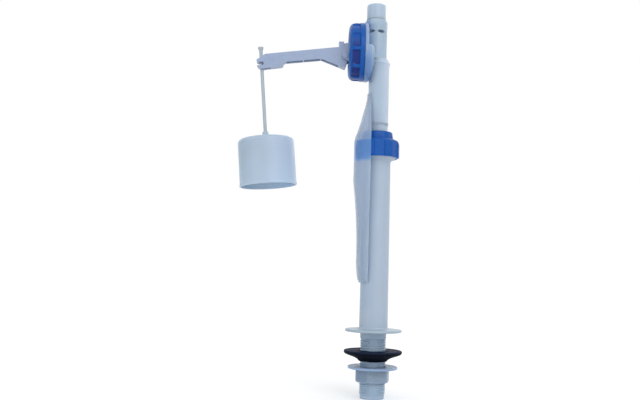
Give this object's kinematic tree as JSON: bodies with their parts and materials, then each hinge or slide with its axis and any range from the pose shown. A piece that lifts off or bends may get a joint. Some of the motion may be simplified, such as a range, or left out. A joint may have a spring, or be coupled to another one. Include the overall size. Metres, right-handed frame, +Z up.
{
  "type": "cistern float valve",
  "caption": "Bottom-inlet diaphragm float valve for a toilet cistern: threaded shank and tank flange, height-adjustable riser with outlet shroud, and a float cup hung on a pivoting arm.",
  "frame": {"origin": "centre of the tank flange's underside, where the stand pipe meets the cistern floor", "axes": "+Z up the stand pipe; -X towards the float arm and float; -Y towards the viewer of the pictured side"},
  "size_m": [0.1374, 0.0482, 0.3205],
  "materials": {
    "natural_polypropylene": "translucent satin natural polypropylene, faintly blue-white",
    "acetal_white": "smooth off-white acetal",
    "blue_plastic": "solid mid blue, semi-gloss",
    "black_rubber": "matt black rubber",
    "grey_rubber": "matt dark grey rubber"
  },
  "bodies": {
    "base": {"stand_pipe": "natural_polypropylene", "inlet_strainer": "acetal_white", "flow_restrictor": "acetal_white", "gland_seal": "grey_rubber"},
    "cone_washer": {"cone_washer": "black_rubber"},
    "slip_washer": {"slip_washer": "natural_polypropylene"},
    "back_nut": {"back_nut": "natural_polypropylene"},
    "collet": {"clamp_collet": "acetal_white"},
    "lock_nut": {"lock_nut": "blue_plastic"},
    "riser": {"riser_pipe": "acetal_white", "piston_rings": "grey_rubber", "jacket_tube": "natural_polypropylene", "outlet_shroud": "natural_polypropylene", "head_body": "natural_polypropylene", "head_ring": "grey_rubber", "nozzle_seat": "acetal_white", "diaphragm": "grey_rubber", "cap_gasket": "grey_rubber"},
    "seat_disc": {"seat_disc": "acetal_white"},
    "cap": {"top_cap": "natural_polypropylene"},
    "cover": {"front_cover": "natural_polypropylene", "metering_pin": "acetal_white", "pivot_pin": "acetal_white"},
    "ring_nut": {"ring_nut": "blue_plastic"},
    "arm": {"float_arm": "natural_polypropylene", "pilot_pad": "grey_rubber"},
    "float": {"float_rod": "acetal_white", "float_cup": "natural_polypropylene"}
  },
  "joints": [
    {"name": "riser_slide", "type": "slide", "parent": "base", "child": "riser", "axis": [0, 0, 1], "range_m": [0, 0.02]},
    {"name": "cone_washer_slide", "type": "slide", "parent": "base", "child": "cone_washer", "axis": [0, 0, 1], "range_m": [0, 0.0145]},
    {"name": "slip_washer_slide", "type": "slide", "parent": "base", "child": "slip_washer", "axis": [0, 0, 1], "range_m": [-0.0121, 0.0035]},
    {"name": "back_nut_spin", "type": "hinge", "parent": "slip_washer", "child": "back_nut", "pos_m": [0, 0, -0.0347], "axis": [0, 0, 1], "range_deg": [-2381.5, 674.8]},
    {"name": "collet_slide", "type": "slide", "parent": "base", "child": "collet", "axis": [0, 0, 1], "range_m": [0, 0.00112]},
    {"name": "lock_nut_spin", "type": "hinge", "parent": "collet", "child": "lock_nut", "pos_m": [0, 0, 0.151], "axis": [0, 0, 1], "range_deg": [0, 198]},
    {"name": "cap_lift", "type": "slide", "parent": "riser", "child": "cap", "axis": [0, 0, 1], "range_m": [0, 0.012]},
    {"name": "seat_disc_lift", "type": "slide", "parent": "riser", "child": "seat_disc", "axis": [-1, 0, 0], "range_m": [0, 0.0011]},
    {"name": "cover_slide", "type": "slide", "parent": "riser", "child": "cover", "axis": [-1, 0, 0], "range_m": [0, 0.0079]},
    {"name": "ring_nut_spin", "type": "hinge", "parent": "cover", "child": "ring_nut", "pos_m": [-0.019, 0, 0.2281], "axis": [-1, 0, 0], "range_deg": [0, 936]},
    {"name": "arm_swing", "type": "hinge", "parent": "cover", "child": "arm", "pos_m": [-0.0279, 0, 0.2236], "axis": [0, 1, 0], "range_deg": [-20, 5]},
    {"name": "float_slide", "type": "slide", "parent": "arm", "child": "float", "axis": [-0.0872, 0, 0.9962], "range_m": [-0.003, 0.05]}
  ],
  "couplings": [
    {"joint": "slip_washer_slide", "follows": "back_nut_spin", "m_per_rad": 0.00028871},
    {"joint": "collet_slide", "follows": "lock_nut_spin", "m_per_rad": 0.00031831},
    {"joint": "cover_slide", "follows": "ring_nut_spin", "m_per_rad": 0.00047746}
  ]
}
